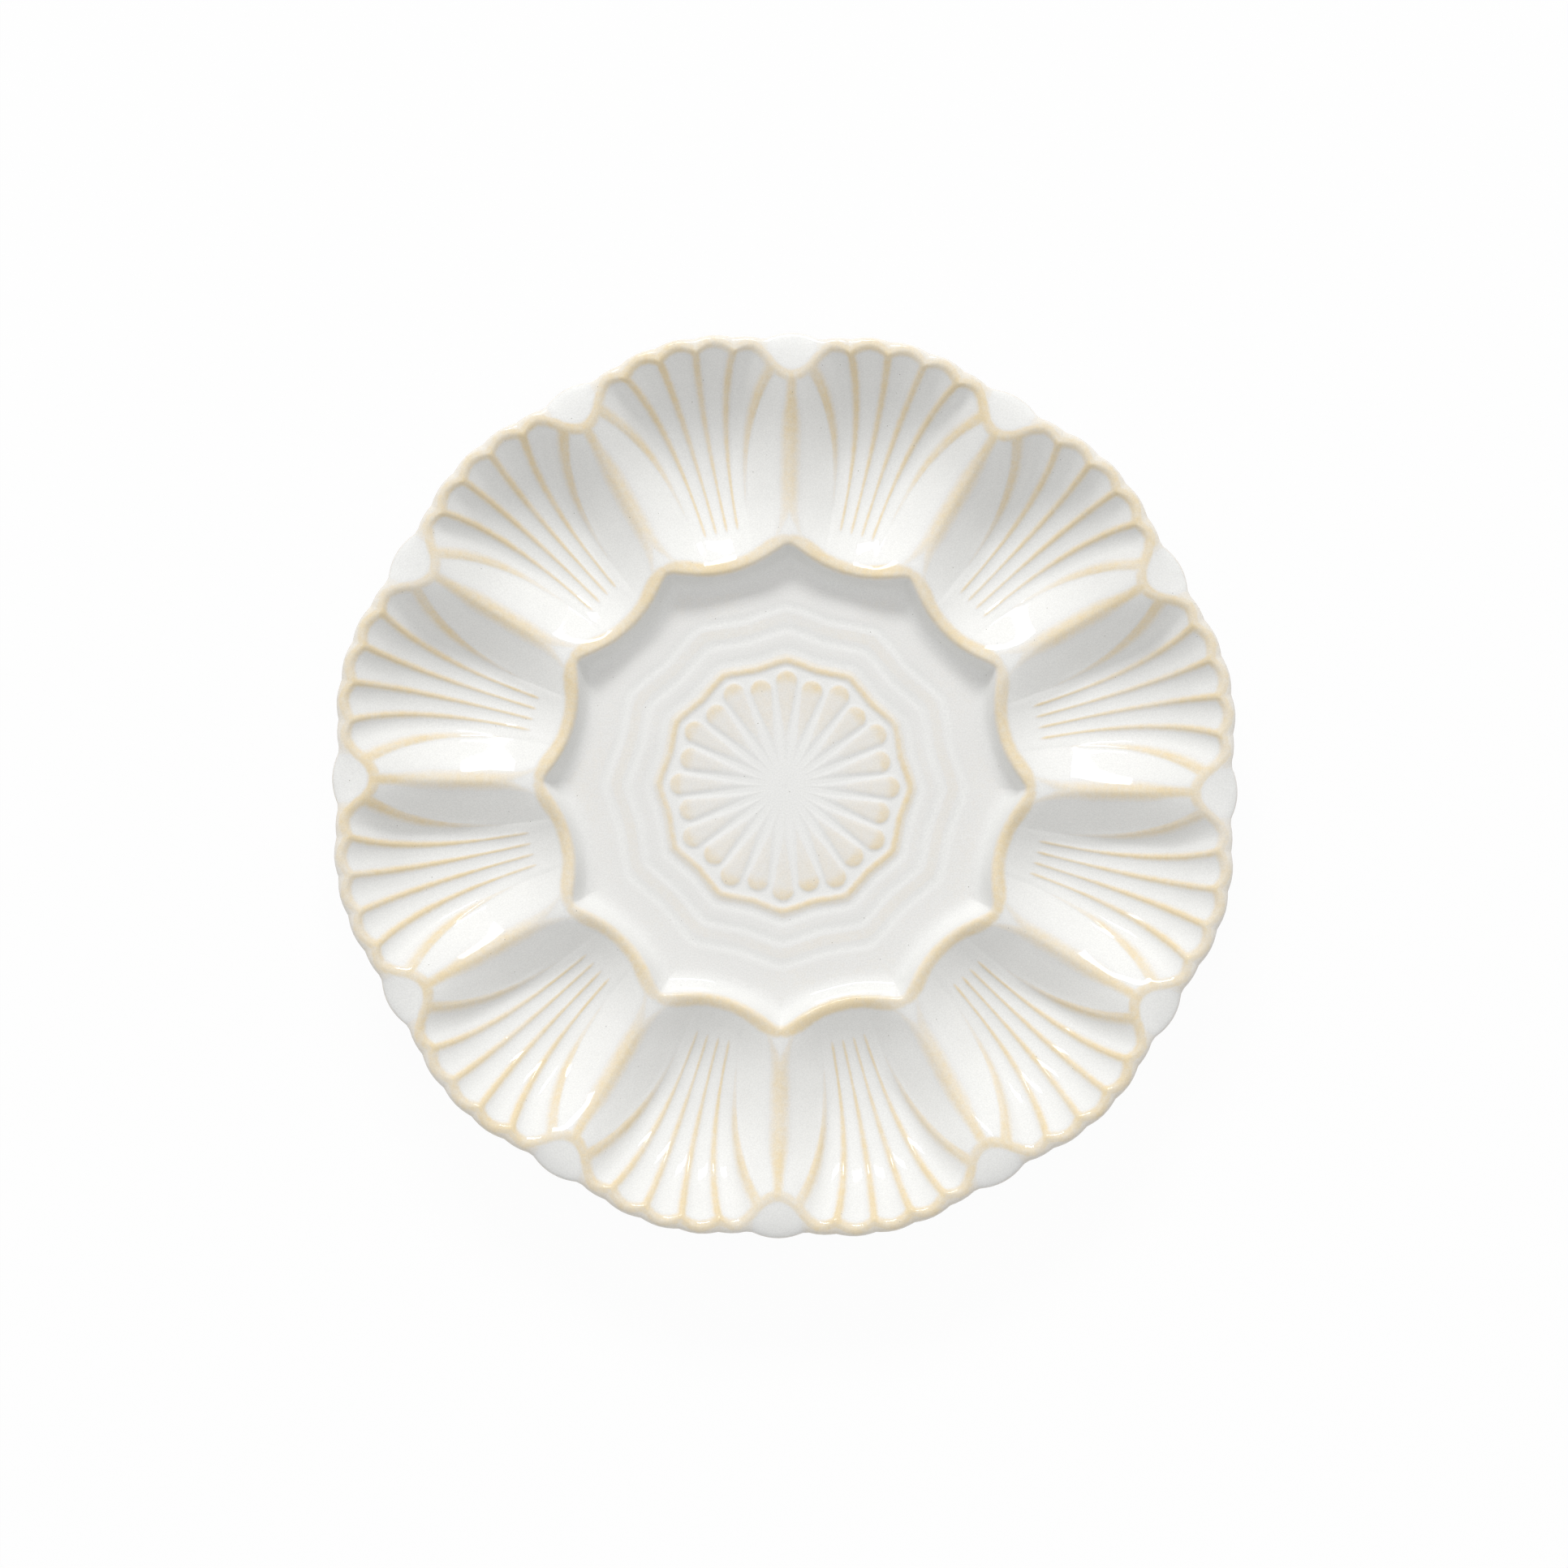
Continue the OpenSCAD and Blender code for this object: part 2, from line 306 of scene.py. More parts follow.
def outer_edge_r(s):
    """Plan of the platter's edge: waved shells with a tab between each two."""
    a = rim_a(s)
    wave = np.where(np.abs(s) < FLUTES, 1 - scallop(s), 1)
    shell = arc_out(EDGE_R, EDGE_ARC_R, a) - EDGE_WAVE_D * wave
    tab = arc_out(EDGE_R - TAB_INSET, TAB_ARC_R, HALF - np.abs(a))
    return blend_max(shell, tab, NOTCH_BLEND)


def crest_plan_r(a):
    """Plan of the dish's crest: an arc over each well, rounded where two arcs meet."""
    from_cusp = np.hypot(HALF - np.abs(a), CUSP_ROUND)
    return arc_in(CREST_R, CREST_ARC_R, np.maximum(0, HALF - from_cusp))


def wall_foot_r(a):
    return arc_in(CREST_R - WALL_RUN, WALL_ARC_R, a)


def shell_plan_r(s):
    """Plan of the rim's crest without its scallops: shell arcs that fork round the tabs."""
    arc = arc_out(RIM_R, SHELL_ARC_R, rim_a(s))
    return mix(arc, FORK_R, smooth((np.abs(s) - FLUTES + 1) / 2) ** FORK_POWER)


def scallop_in(s, t):
    """How far the scallops between flutes draw the surface in."""
    drawn = SCALLOP_D * (1 - scallop(s)) * t ** SCALLOP_POWER
    return np.where(np.abs(s) < FLUTES - 1, drawn, 0)


def rim_crest_z(s):
    return bowl_z(s, 1)


def rim_drop(s):
    """Fall from the rim's crest to the edge."""
    return mix(RIM_FALL, TAB_FALL, smooth(np.abs(s) - FLUTES + TAB_STARTS))


# Course of the line s from the dish, t = 0, to the rim, t = 1
def fan_a(s, t):
    """Angle from the well's axis: the ribs are pinched together at the dish and fan out to the rim."""
    at_rim = rim_a(s)
    outer = np.sign(s) * mix(rim_a(FLUTES) * RIB_PINCH, HALF, np.abs(s) - FLUTES)
    pinched = np.where(np.abs(s) <= FLUTES, at_rim * RIB_PINCH, outer)
    return mix(pinched, at_rim, t ** FAN_POWER)


def fan_r(s, t):
    """Radius along the line s."""
    return mix(crest_plan_r(fan_a(s, 0)), shell_plan_r(s), t) - scallop_in(s, t)


def sweep(x):
    """Rise of a wall from 0 to 1, curved at first and straight in its upper part."""
    low = SWEEP_STRAIGHT ** SWEEP_POWER
    slope = SWEEP_POWER * low / SWEEP_STRAIGHT
    curved = np.where(x < SWEEP_STRAIGHT, x ** SWEEP_POWER, low + slope * (x - SWEEP_STRAIGHT))
    return curved / (low + slope * (1 - SWEEP_STRAIGHT))


def valley_z(t, low_at, in_z, low_z, out_z):
    """Height along a valley from its inner crest over its lowest place to its outer crest."""
    crest = CREST_ROUND / WELL_L
    rim = RIM_ROUND / WELL_L
    inner = np.maximum(0, (low_at - np.hypot(t, crest)) / (low_at - crest))
    outer = np.maximum(0, (1 - low_at - np.hypot(1 - t, rim)) / (1 - low_at - rim))
    return low_z + (in_z - low_z) * inner ** 2 + (out_z - low_z) * sweep(outer)


def web(t):
    """Share of a well's half width that the level inner end of the ridge beside it takes."""
    return WEB_SHARE * np.maximum(0, 1 - t / WEB_END) ** 2


def from_web(s, t):
    """Share of the way from the ridge or its web, 0, to the well's axis, 1."""
    return np.maximum(0, 1 - np.abs(fan_a(s, t)) / HALF - web(t)) / (1 - web(t))


def side_rise(s, t):
    """Share of the rise from the floor of a well to the rounded crest of the ridge beside it."""
    crest = RIDGE_ROUND / (HALF * fan_r(s, t))
    share = np.maximum(0, 1 - np.hypot(from_web(s, t), crest))
    bend = fan_a(FLUTES, t) / HALF
    power = SIDE_POWER * (1 + (t / SIDE_CREASE_AT) ** SIDE_CREASE_POWER)

    def rise(at):
        curved = (at / bend) ** power * bend / power
        return np.where(at < bend, curved, bend / power + at - bend)
    return rise(share) / rise(1 - crest)


def bowl_z(s, t, ridge_share=1):
    """Height of a well without its flutes; ridge_share lowers the ridges for the underside."""
    axis_z = valley_z(t, WELL_DEEP_AT, CREST_Z, WELL_FLOOR_Z, RIM_Z)
    ridge_z = valley_z(t, RIDGE_LOW_AT, RIDGE_IN_Z, RIDGE_LOW_Z, FORK_Z)
    return mix(axis_z, ridge_z, ridge_share * side_rise(s, t))


def rib_start(s, t):
    """0 inside the place where the ribs beside s begin, and 1 once they are full."""
    outer = smooth((t - OUTER_RIB_END) / OUTER_RIB_FADE)
    inner = smooth((t - RIB_END) / RIB_FADE)
    return np.where(np.abs(s) > FLUTES - 1, outer, inner)


def from_rib(s, t):
    """Distance across to the nearest rib."""
    rib = np.clip(2 * np.floor(s / 2) + 1, -FLUTES, FLUTES)
    return (fan_a(s, t) - fan_a(rib, t)) * fan_r(s, t)


def flute_z(s, t):
    """Shallow scoop of the flutes, and the fine ribs that stand between them."""
    scoop = np.where(np.abs(s) < FLUTES, FLUTE_D * scallop(s) * t ** FLUTE_POWER, 0)
    rib = mix(*RIB_H, t) * np.exp(-(from_rib(s, t) / mix(*RIB_W, t)) ** 2)
    return rib_start(s, t) * (rib - scoop) * (1 - t ** FLUTE_CLOSE_POWER)


def under_z(s, t):
    """Height of the underside, which follows the wells at the clay's thickness."""
    clay = CLAY_T * (1 + STEEP_T * t ** STEEP_POWER)
    return np.maximum(FOOT_H, bowl_z(s, t, RIDGE_UNDER) - clay)


# Sections of the skin: each gives angle from the well's axis, radius, height and thinness of the glaze
def dish_section():
    """Floor of the dish with its rosette, border and star lines."""
    a = (np.arange(DISH_LINES) / DISH_LINES * 2 - 1) * HALF
    base = np.concatenate([np.arange(*span) for span in DISH_RINGS])[:, None]
    share = 1 - np.hypot(1 - np.abs(a) / HALF, STAR_ROUND)
    star_r = base * (1 + STAR_POINT * np.maximum(0, share) ** STAR_POWER)
    foot_r = wall_foot_r(a) * base / (CREST_R - WALL_RUN)
    inner = STAR_RS[-1] + STAR_W / 2
    r = mix(star_r, foot_r, smooth((base - inner) / (CREST_R - WALL_RUN - inner)))
    petal, inside, beyond = petal_shape(a, r)
    border = bump(base - BORDER_R, BORDER_W)
    stars = sum(bump(base - star, STAR_W) for star in STAR_RS)
    z = DISH_Z + petal + BORDER_H * border - STAR_D * stars
    return a, r, z, rosette_thin(base, stars, inside, beyond)


def rosette_thin(base, stars, inside, beyond):
    """Thinness of the glaze in the dish: tan tips and border, white star lines."""
    body = mix(PETAL_ROOT_THIN, PETAL_THIN, ramp(base, PETAL_GROWS))
    petal = mix(body, TIP_THIN, smooth((beyond + TIP_FADE) / TIP_SOFT)) * inside
    between_stars = base - mix(*STAR_RS[1:], 0.5)
    blush = BLUSH_THIN * band(between_stars, BLUSH_BAND, BLUSH_SOFT)
    floor = (FLOOR_THIN + blush) * (1 - STAR_WHITE * np.minimum(1, stars * STAR_SPREAD))
    line = BORDER_THIN * band(base - BORDER_R, BORDER_BAND, BORDER_BAND_SOFT)
    fringe = FRINGE_THIN * band(base - BORDER_R - FRINGE_OUT, FRINGE_BAND, FRINGE_SOFT)
    outside = smooth((base - BORDER_R + BORDER_EDGE) / BORDER_EDGE)
    return np.maximum(mix(petal, floor, outside), np.maximum(line, fringe))


def petal_shape(a, r):
    """Height of the petals, how far the tan glaze covers a point, and its distance beyond the tip."""
    step = 2 * math.pi / PETALS
    index = np.round(a / step)
    off = a - index * step
    tip = np.where(index == 0, PETAL_SHORT_R, PETAL_LONG_R)
    x = r * np.sin(off)
    y = r * np.cos(off)
    centre = tip - PETAL_END_R
    grown = np.maximum(0, (y - PETAL_IN_R) / (centre - PETAL_IN_R))
    side = PETAL_END_R * grown ** PETAL_TAPER - np.abs(x)
    end = PETAL_END_R - np.hypot(x, y - centre)
    depth = np.where(y > centre, end, side)
    dome = 1 - (1 - np.clip(depth / PETAL_EDGE, 0, 1)) ** 2
    swell = mix(PETAL_ROOT_H, 1, smooth(grown))
    inside = smooth((depth + PETAL_MARGIN) / mix(*PETAL_SOFT, smooth(grown)))
    return PETAL_H * dome * swell, inside, np.hypot(x, y) - tip


def wall_share(f):
    """Height of the dish's wall, steep below its crest and rounded out into the floor."""
    tail = 1 / (1 + WALL_HALF_AT ** -WALL_POWER)
    return (1 / (1 + (f / WALL_HALF_AT) ** WALL_POWER) - tail) / (1 - tail)


def wall_section(s):
    """Wall from the floor of the dish up to the crest."""
    f = np.linspace(1, 0, WALL_RINGS, endpoint=False)[:, None]
    a = fan_a(s, 0)
    r = mix(crest_plan_r(a), wall_foot_r(a), f)
    d = crest_plan_r(a) - r
    z = mix(DISH_Z, bowl_z(s, 0), wall_share(f))
    crest = mix(*CREST_THIN, (a / HALF) ** 2) * band(d, CREST_BAND_IN, CREST_BAND_SOFT)
    return a, r, z, np.maximum(FLOOR_THIN * smooth(2 * f - 1), crest)


def rib_bands(a, r, t):
    """Tan on each rib, which starts at a point and widens towards the rim."""
    width = RIB_BAND_IN + RIB_BAND_GROWS * np.maximum(0, t - RIB_WIDENS_AT)
    bands = []
    for rib in RIBS:
        if abs(rib) == FLUTES:
            starts = smooth((t - OUTER_RIB_END + OUTER_RIB_LEAD) / OUTER_RIB_SOFT)
            level = mix(*OUTER_RIB_THIN, ramp(t, OUTER_RIB_DEEPENS))
        else:
            starts = smooth((t - RIB_END + RIB_LEAD) / RIB_SOFT)
            level = mix(*RIB_THIN, t)
        off = (a - fan_a(rib, t)) * r
        across = band(off, width * mix(RIB_POINT, 1, starts), width * RIB_BAND_SOFT)
        bands.append(level * starts * across)
    return bands


def ridge_band(a, r, t):
    """Tan on the ridge, which narrows towards the rim and forks along the web at its inner end."""
    narrow = ramp(r, RIDGE_NARROWS)
    forked = 1 - ramp(r, RIDGE_FORKS)
    off = ((HALF - np.abs(a)) - HALF * web(t)) * r - WEB_LINE_IN * forked
    width = mix(mix(*RIDGE_BAND, narrow), WEB_LINE_BAND, forked)
    soft = mix(mix(*RIDGE_BAND_SOFT, narrow), WEB_LINE_SOFT, forked)
    level = mix(mix(*RIDGE_THIN, ramp(r, RIDGE_DEEPENS)), RIDGE_END_THIN, narrow)
    return level * band(off, width, soft)


def crest_band(s, r):
    """Tan on the well's side of the dish's crest, swelling beside the cusps and narrow on them."""
    a = fan_a(s, 0)
    share = np.abs(a) / HALF
    swell = CREST_SWELL * np.exp(-((share - CREST_SWELL_AT) / CREST_SWELL_W) ** 2)
    width = CREST_BAND_OUT * mix(1, CREST_CUSP, share ** CREST_CUSP_POWER) + swell
    return mix(*CREST_THIN, share ** 2) * band(r - crest_plan_r(a), width, CREST_BAND_SOFT)


def well_section(s):
    """One egg well, from the crest of the dish to the crest of its rim."""
    t = np.append(crowded(WELL_RINGS, WELL_PULL), 1)[:, None]
    a = fan_a(s, t)
    r = fan_r(s, t)
    z = bowl_z(s, t) + flute_z(s, t)
    rim = RIM_THIN * band(fan_r(s, 1) - r, RIM_BAND, RIM_BAND_SOFT)
    bands = [*rib_bands(a, r, t), ridge_band(a, r, t), crest_band(s, r), rim]
    return a, r, z, np.max(np.broadcast_arrays(*bands), axis=0)


def lip_section(s):
    """Rounded lip of the shells and sloping tabs between them, from the rim's crest to the edge."""
    f = np.append(crowded(LIP_RINGS, LIP_PULL)[1:], 1)[:, None]
    u = np.sin(np.pi / 2 * f)
    inner = fan_r(s, 1)
    run = outer_edge_r(s) - inner
    d = run * u
    fall = rim_drop(s) * (1 - np.cos(np.pi / 2 * f))
    crest = RIM_THIN * band(d, RIM_BAND, RIM_BAND_SOFT)
    on_shell = 1 - smooth((np.abs(s) - FLUTES + TAB_STARTS) / LIP_END_SOFT)
    shell = LIP_THIN * on_shell * mix(1, LIP_EDGE_SHARE, u)
    edge = EDGE_THIN * band(run - d, EDGE_LINE, EDGE_LINE_SOFT)
    thin = np.maximum(crest, np.maximum(shell, edge))
    return rim_a(s), inner + d, rim_crest_z(s) - fall, thin


def under_lip_section(s):
    """Rounded lower half of the lip."""
    g = np.linspace(0, 1, UNDER_LIP_RINGS + 1)[1:, None] * np.pi / 2
    r = outer_edge_r(s) - RIM_INSET * (1 - np.cos(g))
    z = rim_crest_z(s) - rim_drop(s) - CLAY_T / 2 * np.sin(g)
    thin = UNDER_LIP_THIN * (1 - smooth(g))
    return rim_a(s), r, z, thin


def under_section(s):
    """Underside, from the lip in to the flat that the foot stands on."""
    t = np.array(UNDER_TS)[:, None]
    a = fan_a(s, t)
    r = fan_r(s, t)
    z = under_z(s, t)
    flat_r = np.array(FLAT_RS)[:, None] + 0 * s
    flat_a = np.broadcast_to(rim_a(s), flat_r.shape)
    flat_z = np.full(flat_r.shape, FOOT_H)
    return np.vstack([a, flat_a]), np.vstack([r, flat_r]), np.vstack([z, flat_z]), 0


def fan_lines(per_flute, per_side):
    """Fan lines of one well from ridge to ridge, closer together beside the ribs."""
    side = crowded(per_side, SIDE_PULL)
    flutes = [2 * (i + crowded(per_flute, FLUTE_PULL)) - FLUTES for i in range(FLUTES)]
    return np.concatenate([side - RIDGE_S, *flutes, FLUTES + side])


def unevenness(x, y):
    """Slow waves of the hand-pressed surface, about 1 high."""
    draw = np.random.default_rng(UNEVEN_SEED)
    total = np.zeros_like(x)
    for _ in range(UNEVEN_WAVES):
        heading, phase = draw.uniform(0, 2 * math.pi, 2)
        length = draw.uniform(*UNEVEN_LENGTHS)
        along = x * math.cos(heading) + y * math.sin(heading)
        total += np.sin(2 * math.pi * along / length + phase)
    return total / math.sqrt(UNEVEN_WAVES / 2)


def whole_rings(section, top):
    """Rings of a section round all the wells, as rows of x, y, z and thinness."""
    a, r, z, thin = np.broadcast_arrays(*section)
    axes = HALF + SECTOR * np.arange(WELLS)
    angle = (axes[None, :, None] + a[:, None, :]).reshape(len(a), -1)
    r, z, thin = (np.tile(v, (1, WELLS)) for v in (r, z, thin))
    x = r * np.cos(angle)
    y = r * np.sin(angle)
    z = z + UNEVEN_Z * unevenness(x, y) * top
    return list(np.stack([x, y, z, thin], axis=-1))


def belt(n, m, a0, b0):
    """Faces between two closed rings of n and m points that start at the same angle."""
    i = np.arange(n)
    if n == m:
        return np.stack([a0 + i, b0 + i, b0 + (i + 1) % n, a0 + (i + 1) % n], axis=1).tolist()
    j = np.arange(m)
    beside = np.floor((i + 0.5) * m / n + 0.5).astype(int) % m
    behind = np.ceil((j + 0.5) * n / m - 0.5).astype(int) % n
    inner = np.stack([a0 + i, b0 + beside, a0 + (i + 1) % n], axis=1)
    outer = np.stack([a0 + behind, b0 + j, b0 + (j + 1) % m], axis=1)
    return inner.tolist() + outer.tolist()


def plate_mesh():
    """Closed skin of the plate through all the rings, with the thinness of the glaze at each point."""
    lines = fan_lines(LINES_PER_FLUTE, LINES_PER_SIDE)
    under = np.linspace(-RIDGE_S, RIDGE_S, UNDER_LINES, endpoint=False)
    rings = []
    for section in (dish_section(), wall_section(lines), well_section(lines), lip_section(lines)):
        rings += whole_rings(section, 1)
    rings += whole_rings(under_lip_section(lines), 0)
    rings += whole_rings(under_section(under), 0)
    first = np.array([[0, 0, DISH_Z, FLOOR_THIN]])
    last = np.array([[0, 0, FOOT_H, 0]])
    points = np.concatenate([first, *rings, last])
    starts = np.cumsum([1] + [len(ring) for ring in rings])
    faces = []
    for ring, after, a0, b0 in zip(rings, rings[1:], starts, starts[1:]):
        faces += belt(len(ring), len(after), int(a0), int(b0))
    n = len(rings[0])
    faces += [[0, 1 + i, 1 + (i + 1) % n] for i in range(n)]
    n = len(rings[-1])
    a0 = int(starts[-2])
    faces += [[len(points) - 1, a0 + (i + 1) % n, a0 + i] for i in range(n)]
    mesh = bpy.data.meshes.new("glazed_plate")
    mesh.from_pydata((points[:, :3] * MM).tolist(), [], faces)
    mesh.attributes.new("glaze_thin", "FLOAT", "POINT").data.foreach_set("value", points[:, 3])
    mesh.shade_smooth()
    mesh.validate()
    return mesh


def add_node(tree, kind, inputs=None, **settings):
    """New node with its settings, and its inputs set to values or linked from sockets."""
    made = tree.nodes.new(kind)
    for name, value in settings.items():
        setattr(made, name, value)
    for name, value in (inputs or {}).items():
        if isinstance(value, bpy.types.NodeSocket):
            tree.links.new(value, made.inputs[name])
        else:
            made.inputs[name].default_value = value
    return made


def math_node(tree, operation, *values):
    return add_node(tree, "ShaderNodeMath", dict(enumerate(values)), operation=operation).outputs[0]


def noise_node(tree, coords, size, detail):
    """Noise whose features are about size millimetres across."""
    return add_node(tree, "ShaderNodeTexNoise", {
        "Vector": coords, "Scale": 1 / (size * MM), "Detail": detail}).outputs["Fac"]


def range_node(tree, value, span, to):
    """The value, mapped and clamped from one span to another."""
    return add_node(tree, "ShaderNodeMapRange", {
        "Value": value, "From Min": span[0], "From Max": span[1], "To Min": to[0], "To Max": to[1],
    }).outputs["Result"]


def uneven_node(tree, coords, size, detail, span, to):
    """Noise with features of about size millimetres, mapped from its middle span to the values to."""
    return range_node(tree, noise_node(tree, coords, size, detail), span, to)


def colour_ramp(tree, value, stops):
    """Colour at the value, between stops that each have a place and a colour."""
    made = add_node(tree, "ShaderNodeValToRGB", {"Fac": value})
    elements = made.color_ramp.elements
    while len(elements) < len(stops):
        elements.new(0.5)
    for element, (place, colour) in zip(elements, stops):
        element.position = place
        element.color = (*colour, 1)
    return made.outputs["Color"]


def mix_colour(tree, factor, first, second, blend="MIX"):
    made = add_node(tree, "ShaderNodeMix", {0: factor, 6: first, 7: second},
                    data_type="RGBA", blend_type=blend)
    return made.outputs[2]


def new_material(name):
    """Material with an empty tree, its output node and its object coordinates."""
    material = bpy.data.materials.new(name)
    material.use_nodes = True
    tree = material.node_tree
    tree.nodes.clear()
    output = add_node(tree, "ShaderNodeOutputMaterial")
    coords = add_node(tree, "ShaderNodeTexCoord").outputs["Object"]
    return material, tree, output, coords


# Glaze and clay: colours, and unevenness with its sizes in millimetres
POOLED = (0.845, 0.845, 0.825)
MILKY = (0.815, 0.81, 0.79)
BLUSH = (0.815, 0.768, 0.685)
TAN = (0.805, 0.675, 0.45)
GLAZE_STOPS = ((0, POOLED), (0.3, MILKY), (0.55, BLUSH), (0.9, TAN))
CLAY_STOPS = ((0.25, (0.58, 0.46, 0.33)), (0.55, (0.66, 0.54, 0.4)), (0.8, (0.72, 0.61, 0.47)))
SPECK = (0.2, 0.17, 0.13)
SPECK_CORE = 0.3
PATCHES = {"size": 26, "detail": 2, "span": (0.3, 0.7), "to": (0.86, 1.12)}
RAGGED = {"size": 1.9, "detail": 3, "span": (0.25, 0.75), "to": (-0.13, 0.13)}
GRAIN = {"size": 0.5, "detail": 2, "span": (0.25, 0.75), "to": (0.935, 1.065)}
CLOUDS = {"size": 14, "detail": 3, "span": (0.25, 0.75), "to": (0.985, 1.015)}
GLAZE_ROUGHNESS = {"size": 6, "detail": 2, "span": (0.3, 0.7), "to": (0.03, 0.07)}
IRON_SPECKS = {"cell": 5, "size": 0.45, "share": 0.6}
IRON_STRENGTH = 0.6
PEEL = {"size": 3.5, "detail": 2}
PEEL_STRENGTH = 0.05
PEEL_DEPTH = 0.1
GLAZE_IOR = 1.5
MOTTLE = {"size": 5, "detail": 4}
SAND = {"cell": 1.6, "size": 0.5, "share": 0.4}
SAND_STRENGTH = 0.5
GRIT = {"size": 0.6, "detail": 4}
GRIT_STRENGTH = 0.35
GRIT_DEPTH = 0.2
GRIT_SPAN = (0.2, 0.8)
CLAY_ROUGHNESS = (0.7, 0.9)


def specks(tree, coords, cell, size, share):
    """1 on sparse dots: cell and size are in millimetres, and share is the part of the cells with a dot."""
    cells = add_node(tree, "ShaderNodeTexVoronoi", {"Vector": coords, "Scale": 1 / (cell * MM)})
    chance = add_node(tree, "ShaderNodeSeparateColor", {0: cells.outputs["Color"]})
    chosen = math_node(tree, "LESS_THAN", chance.outputs[0], share)
    edge = (size / cell * SPECK_CORE, size / cell / 2)
    near = range_node(tree, cells.outputs["Distance"], edge, (1, 0))
    return math_node(tree, "MULTIPLY", chosen, near)


def glaze_material():
    """Milky white gloss glaze that breaks to tan on every raised line."""
    material, tree, output, coords = new_material("glaze_breaking_to_tan")
    thin = add_node(tree, "ShaderNodeAttribute", attribute_name="glaze_thin").outputs["Fac"]
    patchy = uneven_node(tree, coords, **PATCHES)
    ragged = uneven_node(tree, coords, **RAGGED)
    broken = math_node(tree, "MULTIPLY", thin, patchy)
    raised = math_node(tree, "ADD", broken, math_node(tree, "MULTIPLY", ragged, broken))
    colour = colour_ramp(tree, raised, GLAZE_STOPS)
    grain = uneven_node(tree, coords, **GRAIN)
    cloud = uneven_node(tree, coords, **CLOUDS)
    shade = add_node(tree, "ShaderNodeCombineColor", dict.fromkeys(
        range(3), math_node(tree, "MULTIPLY", grain, cloud))).outputs[0]
    colour = mix_colour(tree, 1, colour, shade, "MULTIPLY")
    dots = math_node(tree, "MULTIPLY", specks(tree, coords, **IRON_SPECKS), IRON_STRENGTH)
    colour = mix_colour(tree, dots, colour, (*SPECK, 1))
    peel = add_node(tree, "ShaderNodeBump", {
        "Height": noise_node(tree, coords, **PEEL), "Strength": PEEL_STRENGTH, "Distance": PEEL_DEPTH * MM})
    roughness = uneven_node(tree, coords, **GLAZE_ROUGHNESS)
    shader = add_node(tree, "ShaderNodeBsdfPrincipled", {
        "Base Color": colour, "Roughness": roughness, "IOR": GLAZE_IOR, "Normal": peel.outputs[0]})
    tree.links.new(shader.outputs[0], output.inputs["Surface"])
    return material


def clay_material():
    """Bare fired clay of the foot: warm buff, dry, with sand in it."""
    material, tree, output, coords = new_material("bare_buff_clay")
    colour = colour_ramp(tree, noise_node(tree, coords, **MOTTLE), CLAY_STOPS)
    sand = math_node(tree, "MULTIPLY", specks(tree, coords, **SAND), SAND_STRENGTH)
    colour = mix_colour(tree, sand, colour, (*SPECK, 1))
    grit = noise_node(tree, coords, **GRIT)
    tooth = add_node(tree, "ShaderNodeBump", {
        "Height": grit, "Strength": GRIT_STRENGTH, "Distance": GRIT_DEPTH * MM})
    roughness = range_node(tree, grit, GRIT_SPAN, CLAY_ROUGHNESS)
    shader = add_node(tree, "ShaderNodeBsdfPrincipled", {
        "Base Color": colour, "Roughness": roughness, "Normal": tooth.outputs[0]})
    tree.links.new(shader.outputs[0], output.inputs["Surface"])
    return material


# Studio, in metres: white floor, a room that is brightest overhead, and softboxes beyond the picture's top
FLOOR_SIZE = 12
FLOOR_GAP = 0.1 * MM
FLOOR_WHITE = 0.86
FLOOR_GLOW = 0.95
ROOM = (1, 1, 1)
ROOM_LEVEL = 0.52
LOBE_POWER = 24
LOBE_LEVEL = 1.6
LAMP_DISTANCE = 5
LAMP_TURN = math.radians(7)
KEY_ZENITH = math.radians(57)
KEY_SIZE = (2.6, 0.9)
KEY_WATTS = 146
SHEEN_ZENITH = math.radians(59)
SHEEN_SIZE = (2.6, 0.55)
SHEEN_WATTS = 62


def seen_directly(tree):
    """1 for rays that show the surroundings to the eye: from the camera, a reflection or a glass."""
    path = add_node(tree, "ShaderNodeLightPath").outputs
    seen = math_node(tree, "MAXIMUM", path["Is Camera Ray"], path["Is Glossy Ray"])
    return math_node(tree, "MAXIMUM", seen, path["Is Transmission Ray"])


def floor_material():
    """White floor that glows a little to the eye, so that only the object's shadow shows on it."""
    material, tree, output, _ = new_material("white_floor")
    matte = add_node(tree, "ShaderNodeBsdfDiffuse", {"Color": (FLOOR_WHITE,) * 3 + (1,)})
    glow = add_node(tree, "ShaderNodeEmission", {"Strength": 1.0})
    share = math_node(tree, "MULTIPLY", seen_directly(tree), FLOOR_GLOW)
    both = add_node(tree, "ShaderNodeMixShader", {0: share, 1: matte.outputs[0], 2: glow.outputs[0]})
    tree.links.new(both.outputs[0], output.inputs["Surface"])
    return material


def make_floor():
    """Floor a hair below the foot, so that the two never lie in one plane."""
    reach = FLOOR_SIZE / 2
    mesh = bpy.data.meshes.new("studio_floor")
    corners = [(-reach, -reach), (reach, -reach), (reach, reach), (-reach, reach)]
    mesh.from_pydata([(x, y, -FLOOR_GAP) for x, y in corners], [], [(0, 1, 2, 3)])
    floor = bpy.data.objects.new("studio_floor", mesh)
    bpy.context.collection.objects.link(floor)
    mesh.materials.append(floor_material())


